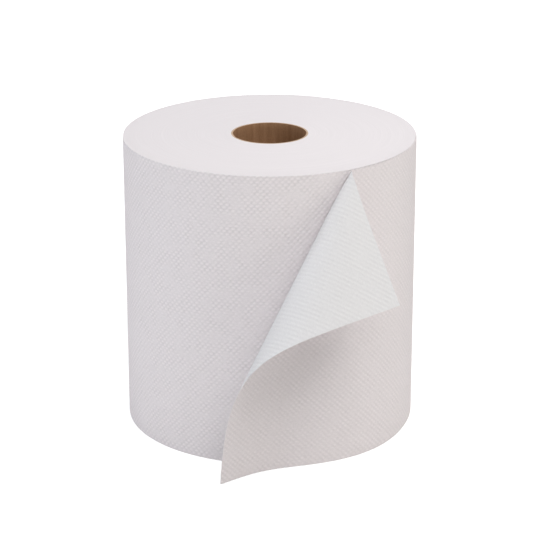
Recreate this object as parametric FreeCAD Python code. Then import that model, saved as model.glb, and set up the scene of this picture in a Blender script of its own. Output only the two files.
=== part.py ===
import FreeCAD
import Part
import math
import os

from FreeCAD import Vector

# A hardwound paper towel roll standing on one end, in millimetres.
# The origin is the centre of the lower end face, +Z runs up the axis, and the free end of
# the web hangs at the front, which is -Y.
# Angles round the roll are in degrees from the front, positive towards +X.
# A place in the web is a length along it, counted from the crease towards its cut end,
# and a height above its lower edge.

# Wound web: the ply is one turn with its embossing
web_width = 200.0
roll_diameter = 198.0
ply = 0.5

# Core tube
core_bore = 48.9
core_wall = 1.6

# Loose outer turn
lift_angle = 75.0
loosening = 45.0
gap_top = 0.8
gap_bottom = 4.3
edge_inset = 0.3
root_angle = 2.0
root_depth = 0.12

# Dog-eared free end, a cone-like curl about a point above the rim
tail_length = 103.1
crease_angle = 36.0
apex_rise = 13.5
foot_angle = 16.8
foot_gap = 5.9
flare = 2.1
turn = 171.0
turn_at = 39.3
turn_spread = 12.1
curl_from = 4.5
curl_full = 25.0
lean = 4.0
lean_reach = 24.0
lean_from = 15.0
lean_full = 45.0
curl_clearance = 0.6
clearance_round = 0.5

# Lines that the edges of the turns draw on the end faces: how far in from the rim each lies
turn_lines = (19.0, 44.0)
line_width = 0.8
line_depth = 0.25

# Fineness of the grid that carries the free end
fan_step = 0.25
rows_held = 8
rows_to_foot = 16
rows_to_end = 38
steps_down = 20
crowding = 1.8
corner_cut = 0.1
probe = 0.05
joining = 0.002

roll_radius = roll_diameter / 2
core_radius = core_bore / 2 + core_wall


def polar(radius, angle, z):
    """Point at an angle round the roll."""
    a = math.radians(angle)
    return Vector(radius * math.sin(a), -radius * math.cos(a), z)


def smooth(x):
    """Step from 0 to 1 with level ends."""
    x = min(max(x, 0.0), 1.0)
    return x * x * (3 - 2 * x)


def turning(theta):
    """Turning of the paper per degree of the fan of straight lines, as a bell."""
    z = (theta - turn_at) / turn_spread
    return turn * math.exp(-0.5 * z * z) / (turn_spread * math.sqrt(2 * math.pi))


def first_frame(apex):
    """Directions along the fan's first line, across it in the web, and out of the web."""
    foot = polar(roll_radius + foot_gap, foot_angle, 0)
    along = (foot - apex).normalize()
    out = polar(1, foot_angle, 0)
    out = (out - along * out.dot(along)).normalize()
    across = along.cross(out)
    a = math.radians(flare)
    return along, across * math.cos(a) + out * math.sin(a), out * math.cos(a) - across * math.sin(a)


def next_frame(frame, theta, step):
    """The frame one step round the fan: it swings in the web and turns about the line."""
    along, across, out = frame
    axis = (out + along * turning(theta + step / 2)) * -1
    swing = FreeCAD.Rotation(axis, step * axis.Length)
    return tuple(swing.multVec(v) for v in (along, across, out))


def fan_of_lines(apex):
    """Direction of each straight line of the curl, from straight down to past the top edge."""
    first = round(math.degrees(math.atan2(roll_radius * math.radians(crease_angle - foot_angle),
                                          web_width + apex_rise)) / fan_step)
    lines = {first: first_frame(apex)}
    for i in range(first, 0, -1):
        lines[i - 1] = next_frame(lines[i], i * fan_step, -fan_step)
    for i in range(first, round(90 / fan_step)):
        lines[i + 1] = next_frame(lines[i], i * fan_step, fan_step)
    return [lines[i][0] for i in range(len(lines))]


def curl_point(apex, fan, theta, reach):
    """Point of the curl on the line at theta, at a distance from the apex."""
    place = min(max(theta / fan_step, 0.0), len(fan) - 1.001)
    i = int(place)
    direction = (fan[i] * (i + 1 - place) + fan[i + 1] * (place - i)).normalize()
    point = apex + direction * reach
    pull = lean * math.exp(-(reach / lean_reach) ** 2)
    pull *= smooth((theta - lean_from) / (lean_full - lean_from))
    point += polar(pull, crease_angle + 90, 0)
    radius = math.hypot(point.x, point.y)
    excess = radius - roll_radius - curl_clearance
    grown = (radius - excess / 2 + math.hypot(excess, clearance_round) / 2) / radius
    return Vector(point.x * grown, point.y * grown, point.z)


def loose_turn_point(length, height):
    """Point of the outer turn where it still follows the roll, with its growing gap."""
    angle = crease_angle - math.degrees(length / roll_radius)
    gap = gap_bottom + (gap_top - gap_bottom) * height / web_width
    gap *= smooth((lift_angle - angle) / loosening)
    return polar(roll_radius - root_depth - ply / 2 + gap, angle, height)


def web_point(apex, fan, length, height):
    """Middle of the paper at a place in the web."""
    theta = math.degrees(math.atan2(length, web_width + apex_rise - height))
    reach = math.hypot(length, web_width + apex_rise - height)
    share = smooth((theta - curl_from) / (curl_full - curl_from))
    held = loose_turn_point(length, height)
    if share == 0:
        return held
    return held * (1 - share) + curl_point(apex, fan, theta, reach) * share


def web_sides(apex, fan, length, height):
    """Outer and inner point of the paper at a place in the web."""
    along = (web_point(apex, fan, length + probe, height)
             - web_point(apex, fan, length - probe, height))
    up = (web_point(apex, fan, length, height + probe)
          - web_point(apex, fan, length, height - probe))
    out = up.cross(along).normalize() * (ply / 2)
    middle = web_point(apex, fan, length, height)
    return middle + out, middle - out


def row_of_places(top_length, foot_length, foot_height):
    """Places along a straight line in the web from its upper edge down, crowded at the top."""
    top_height = web_width - edge_inset
    row = []
    for i in range(steps_down + 1):
        share = (i / steps_down) ** crowding
        row.append((top_length + (foot_length - top_length) * share,
                    top_height + (foot_height - top_height) * share))
    return row


def rows_on_roll():
    """Rows from where the turn leaves the roll to the crease's foot, the last ones fanned."""
    start = -math.radians(lift_angle + root_angle - crease_angle) * roll_radius
    above = apex_rise + edge_inset
    below = apex_rise + web_width - edge_inset
    rows = []
    for i in range(rows_held):
        share = 1 - i / rows_held
        rows.append(row_of_places(start * share ** 2, start * share, edge_inset))
    for i in range(rows_to_foot + 1):
        foot = math.atan2(tail_length, below) * i / rows_to_foot
        rows.append(row_of_places(above * math.tan(foot), below * math.tan(foot), edge_inset))
    return rows


def rows_on_flap():
    """Rows fanned from the lower corner of the cut end to its upper corner."""
    above = apex_rise + edge_inset
    below = apex_rise + web_width - edge_inset
    first = math.atan2(tail_length, below)
    last = math.atan2(tail_length, above + corner_cut)
    rows = []
    for i in range(rows_to_end + 1):
        fanned = first + (last - first) * i / rows_to_end
        end_height = web_width + apex_rise - tail_length / math.tan(fanned)
        rows.append(row_of_places(above * math.tan(fanned), tail_length, end_height))
    return rows


def skin(rows):
    """One smooth face through a grid of points."""
    surface = Part.BSplineSurface()
    surface.interpolate(rows)
    return surface.toShape()


def sheet_part(apex, fan, rows, joined):
    """Both faces of one part of the sheet, and its cut edges but the one joined to the next."""
    sides = [[web_sides(apex, fan, *place) for place in row] for row in rows]
    outer = skin([[pair[0] for pair in row] for row in sides])
    inner = skin([[pair[1] for pair in row] for row in sides])
    edges = [(a, b) for i, (a, b) in enumerate(zip(outer.Edges, inner.Edges)) if i != joined]
    return [outer, inner] + [
        Part.makeLoft([Part.Wire(a), Part.Wire(b)], False, True).Faces[0] for a, b in edges]


def loose_end():
    """The outer turn from where it leaves the roll to its dog-eared end."""
    apex = polar(roll_radius + gap_top, crease_angle, web_width + apex_rise)
    fan = fan_of_lines(apex)
    first_row, last_row = 0, 2
    faces = sheet_part(apex, fan, rows_on_roll(), last_row)
    faces += sheet_part(apex, fan, rows_on_flap(), first_row)
    joined, sources = faces[0].generalFuse(faces[1:], joining)
    shell = Part.Compound(joined.Faces)
    shell.sewShape()
    return Part.Solid(shell.Shells[0])


def spiral_outline():
    """Face of the roll's section: four tangent arcs that shrink by one ply in a turn."""
    shrink = (ply + root_depth) / 4
    centre = Vector(0, 0, 0)
    edges = []
    for quarter in range(4):
        radius = roll_radius - quarter * shrink
        angles = [lift_angle + 90 * (quarter + part) for part in (0, 0.5, 1)]
        start, middle, end = [centre + polar(radius, a, 0) for a in angles]
        edges.append(Part.Arc(start, middle, end).toShape())
        centre = centre + polar(shrink, angles[2], 0)
    edges.append(Part.makeLine(edges[-1].lastVertex().Point, edges[0].firstVertex().Point))
    return Part.Face(Part.Wire(edges))


def end_face_lines():
    """Fine rings cut into both end faces, where the edges of some turns stand back."""
    rings = []
    for inset in turn_lines:
        radius = roll_radius - inset
        for z, inward in ((0, 1), (web_width, -1)):
            tip = Vector(radius, 0, z + inward * line_depth)
            outer = Vector(radius + line_width / 2, 0, z - inward * line_depth)
            inner = Vector(radius - line_width / 2, 0, z - inward * line_depth)
            groove = Part.Face(Part.makePolygon([tip, outer, inner, tip]))
            rings.append(groove.revolve(Vector(0, 0, 0), Vector(0, 0, 1), 360))
    return rings


def towel_roll():
    """The wound web with its bore for the core, its loose outer turn and its free end."""
    body = spiral_outline().extrude(Vector(0, 0, web_width))
    body = body.cut(Part.makeCylinder(core_radius, web_width))
    for ring in end_face_lines():
        body = body.cut(ring)
    return body.fuse(loose_end())


def core():
    """Chipboard tube, flush with the web at both ends."""
    tube = Part.makeCylinder(core_radius, web_width)
    return tube.cut(Part.makeCylinder(core_bore / 2, web_width))


os.makedirs("parts", exist_ok=True)
for name, shape in (("core", core()), ("towel_roll", towel_roll())):
    shape.exportStep("parts/" + name + ".step")
    print(name, shape.isValid(), len(shape.Solids), round(shape.Volume), shape.BoundBox)
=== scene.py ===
import math

import bmesh
import bpy
import numpy as np
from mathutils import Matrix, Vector

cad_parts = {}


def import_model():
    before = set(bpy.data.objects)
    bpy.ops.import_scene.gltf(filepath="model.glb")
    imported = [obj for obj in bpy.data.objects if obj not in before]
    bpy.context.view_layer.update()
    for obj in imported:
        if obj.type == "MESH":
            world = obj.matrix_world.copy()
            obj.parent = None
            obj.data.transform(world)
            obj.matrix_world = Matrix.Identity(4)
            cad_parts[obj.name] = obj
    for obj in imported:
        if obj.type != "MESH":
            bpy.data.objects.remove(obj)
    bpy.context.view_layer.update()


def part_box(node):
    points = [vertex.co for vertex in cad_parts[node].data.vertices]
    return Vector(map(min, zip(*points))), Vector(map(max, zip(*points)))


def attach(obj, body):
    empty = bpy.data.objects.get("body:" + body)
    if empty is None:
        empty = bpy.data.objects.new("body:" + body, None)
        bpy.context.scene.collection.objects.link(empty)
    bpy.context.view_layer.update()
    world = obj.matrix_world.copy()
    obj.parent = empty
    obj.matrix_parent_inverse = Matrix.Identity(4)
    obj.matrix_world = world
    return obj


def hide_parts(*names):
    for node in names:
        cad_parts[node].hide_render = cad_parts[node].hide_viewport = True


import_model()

# A hardwound paper towel roll on its chipboard core. Lengths are in millimetres up to the
# meshes, which are in metres. Angles round the roll are in degrees from the front (-Y),
# positive towards +X. A place in the web is a length along it, counted from the crease
# towards the cut end, and a height above its lower edge.
MM = 0.001

# Taken from the frame
core_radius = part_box("core")[1].x / MM
roll_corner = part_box("towel_roll")[1]
roll_radius = roll_corner.x / MM
web_width = roll_corner.z / MM

# Paper and its embossed dots: a part of each is a plain wave, and the rest is only a crown
ply = 0.35
relief = 0.30
relief_pitch = 4.0
wave_part = 0.6
rim_fade = 1.2
rim_fade_lead = 0.5

# Fineness of the meshes, and the angle from which their edges are sharp
mesh_step = 1.0
hidden_step = 8.0
inner_fine_from = -20.0
covered_angle = 38.0
covered_stations = 30
end_rings = 11
core_sides = 240
core_rows = 100
slack = 1e-6
sharp_angle = 50.0

# End faces: the turns' edges stand back in rings that drift in and out of step
end_unevenness = 0.06
ring_pace = 0.9
ring_drift = 2.0
ring_drift_pace = 0.37

# Core
core_bore_radius = 24.45
strip_pitch = 110.0
seam_depth = 0.3
seam_width = 0.9
rim_round = 0.4

# Outer turn
seam_angle = 160.0
seam_step = 0.4
lift_angle = 75.0
loosening = 45.0
gap_top = 0.8
gap_bottom = 4.3
edge_inset = 0.3

# Dog-eared free end
tail_length = 103.1
crease_angle = 36.0
apex_rise = 13.5
foot_angle = 16.8
foot_gap = 5.9
flare = 2.1
turn = 171.0
turn_at = 39.3
turn_spread = 12.1
curl_from = 4.5
curl_full = 25.0
lean = 4.0
lean_reach = 24.0
lean_from = 15.0
lean_full = 45.0
curl_clearance = 0.6
clearance_round = 0.5
fan_step = 0.25
probe = 0.05

# Looks of the paper: each sheet's shares of the waves that run along the web and up it, along
# the web and down it, and up it alone, set to the ridges that the light picks out on that sheet,
# as painted shade and highlight; the colours of the painted shade in the hollows and of the
# painted highlight on the dots; the fading of the dots in patches, and the fibres.
# Heights of bumps are in metres
turn_waves = (0.08, 0.15, 0.05)
body_waves = (0.22, 0.16, 0.12)
back_waves = (0.03, 0.17, 0.02)
# Paper colours: painted shade in the hollows between the dots, painted highlight on the dots
paper_shaded_hollows = (0.745, 0.705, 0.715)
paper_lit_dots = (0.90, 0.85, 0.862)
back_shaded_hollows = (0.765, 0.76, 0.775)
back_lit_dots = (0.885, 0.88, 0.89)
patch_scale = 0.12
patch_limits = (0.40, 0.62)
patch_fading = (0.05, 1.5)
fibre_scale = 0.7
fibre_share = 1.5
mean_tone = -0.21
tone_limits = (0.1, 0.95)
fibre_bump = 0.00006
dot_bump = 0.0002

# Looks of the end faces
edge_lean = 0.12
edge_dark = (0.80, 0.765, 0.785)
edge_light = (0.86, 0.825, 0.845)
ring_stretch = 0.004
ring_scale = 3.0
ring_limits = (0.3, 0.7)
ring_bump = 0.00008
fuzz_scale = 1.2
fuzz_bump = 0.00005

# Looks of the board
board_dark = (0.28, 0.145, 0.070)
board_light = (0.45, 0.265, 0.150)
board_grain = 0.5
cut_dark = (0.48, 0.34, 0.23)
cut_light = (0.66, 0.50, 0.37)
cut_grain = 0.7
streak_stretch = (0.12, 0.02, 1.0)
speck_share = 0.45
board_limits = (0.35, 0.65)
speck_bump = 0.0001

# Surroundings
floor_reach = 3000.0
floor_white = 0.9
floor_lift = 0.6
world_light = 0.02
middle = (0, 0, 100)

# Camera, found from the roll's outline in the photograph. Its angles are in radians, and its
# clip limits in metres
view_distance = 1426.5
view_height = 613.7
view_pitch = 0.3492
view_yaw = 0.0049
view_lens = 141.08
view_sensor = 36.0
view_clip = (0.05, 20.0)


def polar(radius, angle, z):
    """Points at angles round the roll."""
    a = np.radians(angle)
    radius, a, z = np.broadcast_arrays(radius, a, z)
    return np.stack([radius * np.sin(a), -radius * np.cos(a), z], axis=-1)


def smooth(x):
    """Step from 0 to 1 with level ends."""
    x = np.clip(x, 0.0, 1.0)
    return x * x * (3 - 2 * x)


def rotated(vector, axis, angle):
    """A vector turned about an axis, by Rodrigues' formula."""
    c, s = math.cos(angle), math.sin(angle)
    return vector * c + np.cross(axis, vector) * s + axis * (axis @ vector) * (1 - c)


def turning(theta):
    """Turning of the paper per degree of the fan of straight lines, as a bell."""
    z = (theta - turn_at) / turn_spread
    return turn * math.exp(-0.5 * z * z) / (turn_spread * math.sqrt(2 * math.pi))


def next_axes(axes, theta, step):
    """The axes one step round the fan: they swing in the web and turn about the line."""
    along, across, out = axes
    axis = -(out + along * turning(theta + step / 2))
    size = np.linalg.norm(axis)
    angle = math.radians(step) * size
    return tuple(rotated(v, axis / size, angle) for v in (along, across, out))


def fan_of_lines(apex):
    """Direction of each straight line of the curl, from straight down to past the top edge."""
    foot = polar(roll_radius + foot_gap, foot_angle, 0.0)
    along = (foot - apex) / np.linalg.norm(foot - apex)
    out = polar(1.0, foot_angle, 0.0)
    out = out - along * (out @ along)
    out = out / np.linalg.norm(out)
    across = np.cross(along, out)
    a = math.radians(flare)
    start = (along, across * math.cos(a) + out * math.sin(a),
             out * math.cos(a) - across * math.sin(a))
    first = round(math.degrees(math.atan2(roll_radius * math.radians(crease_angle - foot_angle),
                                          web_width + apex_rise)) / fan_step)
    lines = {first: start}
    for i in range(first, 0, -1):
        lines[i - 1] = next_axes(lines[i], i * fan_step, -fan_step)
    for i in range(first, round(90 / fan_step)):
        lines[i + 1] = next_axes(lines[i], i * fan_step, fan_step)
    return np.array([lines[i][0] for i in range(len(lines))])


APEX = polar(roll_radius + gap_top, crease_angle, web_width + apex_rise)
FAN = fan_of_lines(APEX)


def length_at(angle):
    """Length along the outermost turn at an angle round the roll."""
    return np.radians(crease_angle - angle) * roll_radius


def angle_at(length):
    """Angle round the roll at a length along the outermost turn."""
    return crease_angle - np.degrees(length / roll_radius)


def curl_points(theta, reach):
    """Points of the curl on the lines at theta, at distances from the apex."""
    place = np.clip(theta / fan_step, 0.0, len(FAN) - 1 - slack)
    i = place.astype(int)
    part = (place - i)[..., None]
    direction = FAN[i] * (1 - part) + FAN[i + 1] * part
    direction /= np.linalg.norm(direction, axis=-1, keepdims=True)
    points = APEX + direction * reach[..., None]
    pull = lean * np.exp(-(reach / lean_reach) ** 2)
    pull = pull * smooth((theta - lean_from) / (lean_full - lean_from))
    points = points + pull[..., None] * polar(1.0, crease_angle + 90, 0.0)
    radius = np.hypot(points[..., 0], points[..., 1])
    excess = radius - roll_radius - curl_clearance
    grown = (radius - excess / 2 + np.hypot(excess, clearance_round) / 2) / radius
    return points * np.stack([grown, grown, np.ones_like(grown)], axis=-1)


def web_points(length, height):
    """Middle of the paper of the outer turn at places in the web."""
    length, height = np.broadcast_arrays(length, height)
    drop = web_width + apex_rise - height
    theta = np.degrees(np.arctan2(length, drop))
    reach = np.hypot(length, drop)
    share = smooth((theta - curl_from) / (curl_full - curl_from))[..., None]
    angle = angle_at(length)
    gap = gap_bottom + (gap_top - gap_bottom) * height / web_width
    gap = gap * smooth((lift_angle - angle) / loosening)
    held = polar(roll_radius - ply / 2 + gap, angle, height)
    return held * (1 - share) + curl_points(theta, reach) * share


def web_normals(length, height):
    """Directions out of the paper, away from the roll, at places in the web."""
    along = web_points(length + probe, height) - web_points(length - probe, height)
    up = web_points(length, height + probe) - web_points(length, height - probe)
    out = np.cross(up, along)
    return out / np.linalg.norm(out, axis=-1, keepdims=True)


def embossing(length, height):
    """Height of the raised dots: a staggered lattice that fades at the cut edges."""
    k = 2 * math.pi / relief_pitch
    dots = np.cos(k * length) * np.cos(k * height)
    dots = wave_part * dots + (1 - wave_part) * np.maximum(dots, 0) ** 2
    edge = np.minimum(height, web_width - height)
    return relief * dots * smooth((edge + rim_fade_lead) / rim_fade)


def stations(low, high, step):
    """Values from low to high: the ends, and multiples of the step between them."""
    inner = np.arange(math.ceil(low / step + slack), math.floor(high / step - slack) + 1) * step
    return np.concatenate([[low], inner, [high]])


class Builder:
    """Collects the vertices of one mesh with their places for the material, and its faces."""

    def __init__(self):
        self.points = []
        self.places = []
        self.faces = []
        self.marks = []
        self.count = 0

    def grid(self, points, places):
        """Adds a grid of vertices and gives their numbers."""
        shape = points.shape[:-1]
        numbers = np.arange(self.count, self.count + shape[0] * shape[1]).reshape(shape)
        self.points.append(points.reshape(-1, 3))
        self.places.append(np.broadcast_to(places, points.shape).reshape(-1, 3))
        self.count += numbers.size
        return numbers

    def skin(self, numbers, mark):
        """Quads over a grid of vertex numbers, marked with the number of their material."""
        corners = (numbers[:-1, :-1], numbers[1:, :-1], numbers[1:, 1:], numbers[:-1, 1:])
        quads = np.stack(corners, axis=-1).reshape(-1, 4)
        self.faces.extend(quads.tolist())
        self.marks.extend([mark] * len(quads))

    def polygon(self, numbers, mark):
        """One face of any number of corners."""
        self.faces.append([int(n) for n in numbers])
        self.marks.append(mark)

    def piece(self, name, materials):
        """The object, in metres, with smooth faces and the places as an attribute."""
        mesh = bpy.data.meshes.new(name)
        mesh.from_pydata((np.concatenate(self.points) * MM).tolist(), [], self.faces)
        for material in materials:
            mesh.materials.append(material)
        mesh.polygons.foreach_set("material_index", self.marks)
        web = mesh.attributes.new("web", 'FLOAT_VECTOR', 'POINT')
        web.data.foreach_set("vector", np.concatenate(self.places).astype(np.float32).ravel())
        mesh.polygons.foreach_set("use_smooth", [True] * len(self.faces))
        work = bmesh.new()
        work.from_mesh(mesh)
        bmesh.ops.recalc_face_normals(work, faces=work.faces)
        work.to_mesh(mesh)
        work.free()
        mesh.set_sharp_from_angle(angle=math.radians(sharp_angle))
        piece = bpy.data.objects.new(name, mesh)
        bpy.context.scene.collection.objects.link(piece)
        return piece


def places_of(length, height, side):
    """Places for a material: length and height in the web, or what stands for them, and side."""
    length, height = np.broadcast_arrays(length, height)
    return np.stack([length, height, np.full(length.shape, float(side))], axis=-1)


def outer_turn(materials):
    """The outermost turn from the seam at the back to its dog-eared end, as a thin sheet."""
    b = Builder()
    start = length_at(seam_angle)
    lengths = stations(start, tail_length, mesh_step)
    heights = stations(edge_inset, web_width - edge_inset, mesh_step)
    hidden = stations(start, inner_fine_from, hidden_step)[:-1]
    inner_lengths = np.concatenate([hidden, lengths[lengths >= inner_fine_from - slack]])
    sides = []
    for values, side in ((lengths, 1), (inner_lengths, -1)):
        x, z = np.meshgrid(values, heights, indexing="ij")
        lift = embossing(x, z) + side * ply / 2
        points = web_points(x, z) + web_normals(x, z) * lift[..., None]
        sides.append(b.grid(points, places_of(x, z, side)))
    outer, inner = sides
    b.skin(outer, 0)
    b.skin(inner, 1)
    b.skin(np.stack([outer[-1], inner[-1]]), 0)
    b.skin(np.stack([outer[0], inner[0]]), 0)
    stops = [int(np.argmin(np.abs(lengths - v))) for v in inner_lengths]
    for end in (0, -1):
        for j in range(len(stops) - 1):
            run = outer[stops[j]:stops[j + 1] + 1, end]
            b.polygon(list(run) + [inner[j + 1, end], inner[j, end]], 0)
    return b.piece("outer_turn", materials)


def end_face(b, angles, rim, edge_radius, level, inward):
    """Rings of vertices from a rim in to the bore, where the cut edges of the turns show."""
    share = np.linspace(0.0, 1.0, end_rings + 1)[1:]
    radius = edge_radius[:-1, None] * (1 - share) + core_radius * share
    angle = np.broadcast_to(angles[:-1, None], radius.shape)
    phase = ring_pace * radius + ring_drift * np.sin(ring_drift_pace * radius)
    depth = end_unevenness * (1 - np.cos(phase)) * (share < 1)
    points = polar(radius, angle, level + inward * depth)
    rings = b.grid(points, places_of(radius, angle, 0))
    rings = np.concatenate([rings, rings[:1]])
    b.skin(np.concatenate([rim[1:, None], rings[1:]], axis=1), 1)
    b.skin(rings[:2], 1)
    b.polygon([rim[0], rim[1], rings[1, 0], rings[0, 0], rim[-1]], 1)
    return rings[:, -1]


def wound_body(materials):
    """The roll under its outermost turn, with its end faces and the bore for the core."""
    b = Builder()
    shown = stations(length_at(covered_angle + 360), length_at(seam_angle), mesh_step)[::-1]
    covered = np.linspace(covered_angle + 360, seam_angle + 360, covered_stations)
    angles = np.concatenate([angle_at(shown), covered[1:]])
    heights = stations(0.0, web_width, mesh_step)
    edge_radius = roll_radius - seam_step * (angles - seam_angle) / 360
    a, z = np.meshgrid(angles, heights, indexing="ij")
    x = length_at(a)
    side = b.grid(polar(edge_radius[:, None] + embossing(x, z), a, z), places_of(x, z, 1))
    b.skin(side, 0)
    b.skin(side[[0, -1]], 0)
    low = end_face(b, angles, side[:, 0], edge_radius, 0.0, 1)
    high = end_face(b, angles, side[:, -1], edge_radius, web_width, -1)
    b.skin(np.stack([low, high]), 1)
    return b.piece("wound_body", materials)


def core_tube(materials):
    """The chipboard tube: the edges of its spirally wound strips show inside it."""
    b = Builder()
    angles = np.linspace(0, 360, core_sides + 1)[:-1]
    heights = np.linspace(0, web_width, core_rows + 1)
    a, z = np.meshgrid(angles, heights, indexing="ij")
    climb = (z - strip_pitch * a / 360) / strip_pitch
    off_seam = (climb - np.round(climb)) * strip_pitch
    groove = seam_depth * np.exp(-(off_seam / seam_width) ** 2)
    rounding = rim_round * np.exp(-np.minimum(z, web_width - z) / rim_round)
    inner = b.grid(polar(core_bore_radius + groove + rounding, a, z), places_of(a, z, -1))
    ends = [0, -1]
    outer = b.grid(polar(core_radius, a[:, ends], z[:, ends]), places_of(a, z, 1)[:, ends])
    inner = np.concatenate([inner, inner[:1]])
    outer = np.concatenate([outer, outer[:1]])
    b.skin(inner, 0)
    b.skin(outer, 0)
    b.skin(np.stack([inner[:, 0], outer[:, 0]]), 1)
    b.skin(np.stack([inner[:, -1], outer[:, -1]]), 1)
    return b.piece("core_tube", materials)


class Shade:
    """A node material under construction, with its Principled shader."""

    def __init__(self, name, roughness, specular):
        self.material = bpy.data.materials.new(name)
        self.material.use_nodes = True
        self.tree = self.material.node_tree
        self.shader = self.tree.nodes["Principled BSDF"]
        self.shader.inputs["Roughness"].default_value = roughness
        self.shader.inputs["Specular IOR Level"].default_value = specular

    def node(self, kind, **settings):
        """A new node with its properties set."""
        node = self.tree.nodes.new(kind)
        for key, value in settings.items():
            setattr(node, key, value)
        return node

    def link(self, source, target):
        """Joins an output socket to an input socket."""
        self.tree.links.new(source, target)

    def places(self, scale):
        """The places as a vector, with a scale for length, for height and for side."""
        web = self.node("ShaderNodeAttribute", attribute_name="web")
        mapping = self.node("ShaderNodeMapping", vector_type='POINT')
        mapping.inputs["Scale"].default_value = scale
        self.link(web.outputs["Vector"], mapping.inputs["Vector"])
        return mapping.outputs["Vector"]

    def math(self, operation, first, *others):
        """The result of an operation on terms, each a socket or a float."""
        node = self.node("ShaderNodeMath", operation=operation)
        for socket, term in zip(node.inputs, (first,) + others):
            if isinstance(term, float):
                socket.default_value = term
            else:
                self.link(term, socket)
        return node.outputs[0]

    def wave(self, vector, pace):
        """A plain wave over a vector, with its pace in radians a millimetre."""
        dot = self.node("ShaderNodeVectorMath", operation='DOT_PRODUCT')
        dot.inputs[1].default_value = pace
        self.link(vector, dot.inputs[0])
        return self.math('COSINE', dot.outputs["Value"])

    def spread(self, value, low, high, to_low, to_high):
        """A value between two limits spread over another range."""
        spread = self.node("ShaderNodeMapRange")
        for number, limit in zip((1, 2, 3, 4), (low, high, to_low, to_high)):
            spread.inputs[number].default_value = limit
        self.link(value, spread.inputs[0])
        return spread.outputs[0]

    def leaning_outward(self, lean):
        """The surface's normal tipped away from the roll's axis."""
        place = self.node("ShaderNodeTexCoord").outputs["Object"]
        flat = self.node("ShaderNodeVectorMath", operation='MULTIPLY')
        flat.inputs[1].default_value = (1.0, 1.0, 0.0)
        self.link(place, flat.inputs[0])
        radial = self.node("ShaderNodeVectorMath", operation='NORMALIZE')
        self.link(flat.outputs[0], radial.inputs[0])
        tip = self.node("ShaderNodeVectorMath", operation='SCALE')
        tip.inputs["Scale"].default_value = lean
        self.link(radial.outputs[0], tip.inputs[0])
        total = self.node("ShaderNodeVectorMath", operation='ADD')
        self.link(tip.outputs[0], total.inputs[0])
        self.link(self.node("ShaderNodeNewGeometry").outputs["Normal"], total.inputs[1])
        unit = self.node("ShaderNodeVectorMath", operation='NORMALIZE')
        self.link(total.outputs[0], unit.inputs[0])
        return unit.outputs[0]

    def noise(self, vector, scale, detail, roughness=0.55):
        """Noise over a vector, finer with a larger scale."""
        noise = self.node("ShaderNodeTexNoise")
        noise.inputs["Scale"].default_value = scale
        noise.inputs["Detail"].default_value = detail
        noise.inputs["Roughness"].default_value = roughness
        self.link(vector, noise.inputs["Vector"])
        return noise.outputs["Fac"]

    def ramp(self, value, stops):
        """Colours between two stops, each a position and a colour."""
        ramp = self.node("ShaderNodeValToRGB")
        for element, (position, colour) in zip(ramp.color_ramp.elements, stops):
            element.position = position
            element.color = (*colour, 1.0)
        self.link(value, ramp.inputs["Fac"])
        return ramp.outputs["Color"]

    def bump(self, height, distance, under=None):
        """The normal bent by a height, on top of another normal where one is given."""
        bump = self.node("ShaderNodeBump")
        bump.inputs["Strength"].default_value = 1.0
        bump.inputs["Distance"].default_value = distance
        self.link(height, bump.inputs["Height"])
        if under is not None:
            self.link(under, bump.inputs["Normal"])
        return bump.outputs["Normal"]

    def finished(self, colour, normal):
        """The material, with its colour and its normal joined to the shader."""
        self.link(colour, self.shader.inputs["Base Color"])
        self.link(normal, self.shader.inputs["Normal"])
        return self.material


def paper(name, shaded_hollows, lit_crowns, waves):
    """Embossed towel paper: the raised dots catch more light than the hollows between them, and
    the colour paints this in as shade in the hollows and highlight on the dots.
    """
    s = Shade(name, roughness=0.92, specular=0.2)
    web = s.node("ShaderNodeAttribute", attribute_name="web").outputs["Vector"]
    k = 2 * math.pi / relief_pitch
    dots = 0.0
    for pace, share in zip(((k, k, 0.0), (k, -k, 0.0), (0.0, 2 * k, 0.0)), waves):
        dots = s.math('MULTIPLY_ADD', s.wave(web, pace), share, dots)
    patches = s.noise(s.places((1.0, 1.0, 1.0)), patch_scale, detail=5.0, roughness=0.75)
    fading = s.spread(patches, *patch_limits, *patch_fading)
    strength = s.math('MULTIPLY_ADD', dots, fading, mean_tone)
    fibres = s.noise(s.places((1.0, 1.6, 1.0)), fibre_scale, detail=5.0, roughness=0.8)
    tone = s.math('MULTIPLY_ADD', fibres, fibre_share, strength)
    # The colour paints shade in the hollows and a highlight on the dots
    colour = s.ramp(tone, zip(tone_limits, (shaded_hollows, lit_crowns)))
    normal = s.bump(fibres, fibre_bump)
    normal = s.bump(strength, dot_bump, under=normal)
    return s.finished(colour, normal)


def cut_ends(name, dark, light):
    """The cut edges of the turns: fine rings, with the edges leaning a little outward."""
    s = Shade(name, roughness=0.95, specular=0.15)
    rings = s.noise(s.places((1.0, ring_stretch, 1.0)), ring_scale, detail=3.0, roughness=0.75)
    fuzz = s.noise(s.places((1.0, 1.5, 1.0)), fuzz_scale, detail=4.0)
    colour = s.ramp(rings, zip(ring_limits, (dark, light)))
    normal = s.bump(rings, ring_bump, under=s.leaning_outward(edge_lean))
    normal = s.bump(fuzz, fuzz_bump, under=normal)
    return s.finished(colour, normal)


def chipboard(name, dark, light, grain):
    """Recycled board: fibres and specks, with streaks up the tube."""
    s = Shade(name, roughness=0.85, specular=0.25)
    streaks = s.noise(s.places(streak_stretch), 1.0, detail=4.0, roughness=0.6)
    specks = s.noise(s.places((grain, 0.8, 1.0)), 1.0, detail=5.0, roughness=0.7)
    mix = s.node("ShaderNodeMix", data_type='FLOAT')
    mix.inputs[0].default_value = speck_share
    s.link(streaks, mix.inputs[2])
    s.link(specks, mix.inputs[3])
    colour = s.ramp(mix.outputs[0], zip(board_limits, (dark, light)))
    return s.finished(colour, s.bump(specks, speck_bump))


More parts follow.
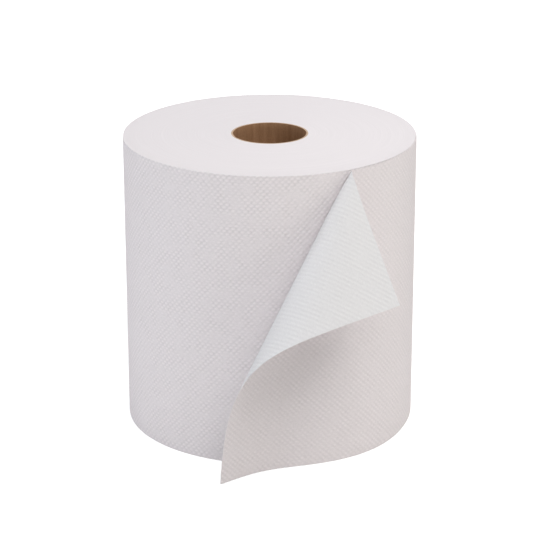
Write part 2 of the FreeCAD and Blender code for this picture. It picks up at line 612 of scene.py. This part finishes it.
def seen_directly(tree):
    """One where the camera, a reflection or a clear object shows the surroundings."""
    rays = tree.nodes.new("ShaderNodeLightPath")
    shown = None
    for ray in ("Is Camera Ray", "Is Glossy Ray", "Is Transmission Ray"):
        if shown is None:
            shown = rays.outputs[ray]
            continue
        either = tree.nodes.new("ShaderNodeMath")
        either.operation = 'MAXIMUM'
        tree.links.new(shown, either.inputs[0])
        tree.links.new(rays.outputs[ray], either.inputs[1])
        shown = either.outputs[0]
    return shown


def world():
    """Plain white surroundings, dimmer as a light than as a background."""
    surroundings = bpy.data.worlds.new("surroundings")
    bpy.context.scene.world = surroundings
    surroundings.use_nodes = True
    tree = surroundings.node_tree
    tree.nodes.clear()
    output = tree.nodes.new("ShaderNodeOutputWorld")
    mix = tree.nodes.new("ShaderNodeMixShader")
    dim = tree.nodes.new("ShaderNodeBackground")
    white = tree.nodes.new("ShaderNodeBackground")
    dim.inputs["Color"].default_value = (1.0, 0.99, 1.0, 1.0)
    dim.inputs["Strength"].default_value = world_light
    white.inputs["Color"].default_value = (1.0, 1.0, 1.0, 1.0)
    white.inputs["Strength"].default_value = 1.0
    tree.links.new(seen_directly(tree), mix.inputs["Fac"])
    tree.links.new(dim.outputs[0], mix.inputs[1])
    tree.links.new(white.outputs[0], mix.inputs[2])
    tree.links.new(mix.outputs[0], output.inputs["Surface"])


def floor():
    """A white floor, lighter to the camera, which keeps the roll's shadow."""
    mesh = bpy.data.meshes.new("floor")
    r = floor_reach * MM
    corners = [(-r, -r, 0), (r, -r, 0), (r, r, 0), (-r, r, 0)]
    mesh.from_pydata(corners, [], [(0, 1, 2, 3)])
    material = bpy.data.materials.new("floor_white")
    material.use_nodes = True
    shader = material.node_tree.nodes["Principled BSDF"]
    shader.inputs["Base Color"].default_value = (floor_white, floor_white, floor_white, 1.0)
    shader.inputs["Roughness"].default_value = 0.9
    shader.inputs["Emission Color"].default_value = (1.0, 1.0, 1.0, 1.0)
    lift = material.node_tree.nodes.new("ShaderNodeMath")
    lift.operation = 'MULTIPLY'
    lift.inputs[1].default_value = floor_lift
    rays = material.node_tree.nodes.new("ShaderNodeLightPath")
    material.node_tree.links.new(rays.outputs["Is Camera Ray"], lift.inputs[0])
    material.node_tree.links.new(lift.outputs[0], shader.inputs["Emission Strength"])
    mesh.materials.append(material)
    piece = bpy.data.objects.new("floor", mesh)
    bpy.context.scene.collection.objects.link(piece)


def lamp(name, place, target, size, power, colour):
    """A soft rectangular lamp aimed at a point, in millimetres and watts."""
    data = bpy.data.lights.new(name, 'AREA')
    data.shape = 'RECTANGLE'
    data.size, data.size_y = size[0] * MM, size[1] * MM
    data.energy = power
    data.color = colour
    piece = bpy.data.objects.new(name, data)
    piece.location = Vector(place) * MM
    aim = (Vector(target) - Vector(place)).to_track_quat('-Z', 'Y')
    piece.rotation_euler = aim.to_euler()
    bpy.context.scene.collection.objects.link(piece)


def camera():
    """The photograph's view: in front and above, aimed a little right of the axis."""
    data = bpy.data.cameras.new("camera")
    data.lens = view_lens
    data.sensor_width = view_sensor
    data.clip_start, data.clip_end = view_clip
    piece = bpy.data.objects.new("camera", data)
    piece.location = Vector((0.0, -view_distance, view_height)) * MM
    piece.rotation_euler = (math.pi / 2 - view_pitch, 0.0, -view_yaw)
    bpy.context.scene.collection.objects.link(piece)
    bpy.context.scene.camera = piece


def build():
    """The three pieces of the roll, with their materials."""
    # Copies of one paper with the same painted shade and highlight; their wave shares follow the
    # ridges that the light picks out on each sheet
    front = paper("towel_front", paper_shaded_hollows, paper_lit_dots, turn_waves)
    under = paper("towel_under", paper_shaded_hollows, paper_lit_dots, body_waves)
    back = paper("towel_back", back_shaded_hollows, back_lit_dots, back_waves)
    ends = cut_ends("towel_ends", edge_dark, edge_light)
    board = chipboard("chipboard_inside", board_dark, board_light, board_grain)
    board_edge = chipboard("chipboard_edge", cut_dark, cut_light, cut_grain)

    turn_piece = outer_turn((front, back))
    body_piece = wound_body((under, ends))
    core_piece = core_tube((board, board_edge))
    for piece, node, slot in ((turn_piece, "towel_roll", "towel_paper"),
                              (body_piece, "towel_roll", "towel_paper"),
                              (core_piece, "core", "chipboard")):
        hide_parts(node)
        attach(piece, "root")


build()
world()
floor()
lamp("top", (0, 900, 1500), middle, (1200, 1200), 14.0, (0.99, 0.99, 1.0))
lamp("front", (0, -1300, 1500), middle, (1200, 1200), 9.4, (1.0, 0.985, 0.96))
lamp("left", (-1600, 0, 300), middle, (1200, 1200), 7.2, (0.94, 0.96, 1.0))
lamp("left_low", (-600, -500, 4), (-200, -200, 300), (500, 900), 3.6, (0.88, 0.93, 1.0))
lamp("right", (1600, 0, 500), middle, (1200, 1200), 3.0, (1.0, 0.98, 0.98))
lamp("right_low", (700, -500, 4), (200, -200, 300), (500, 900), 1.5, (1.0, 0.94, 0.80))
lamp("right_high", (750, -600, 1600), middle, (800, 800), 12.8, (1.0, 0.99, 0.975))
camera()

bpy.context.scene.view_settings.view_transform = 'Standard'
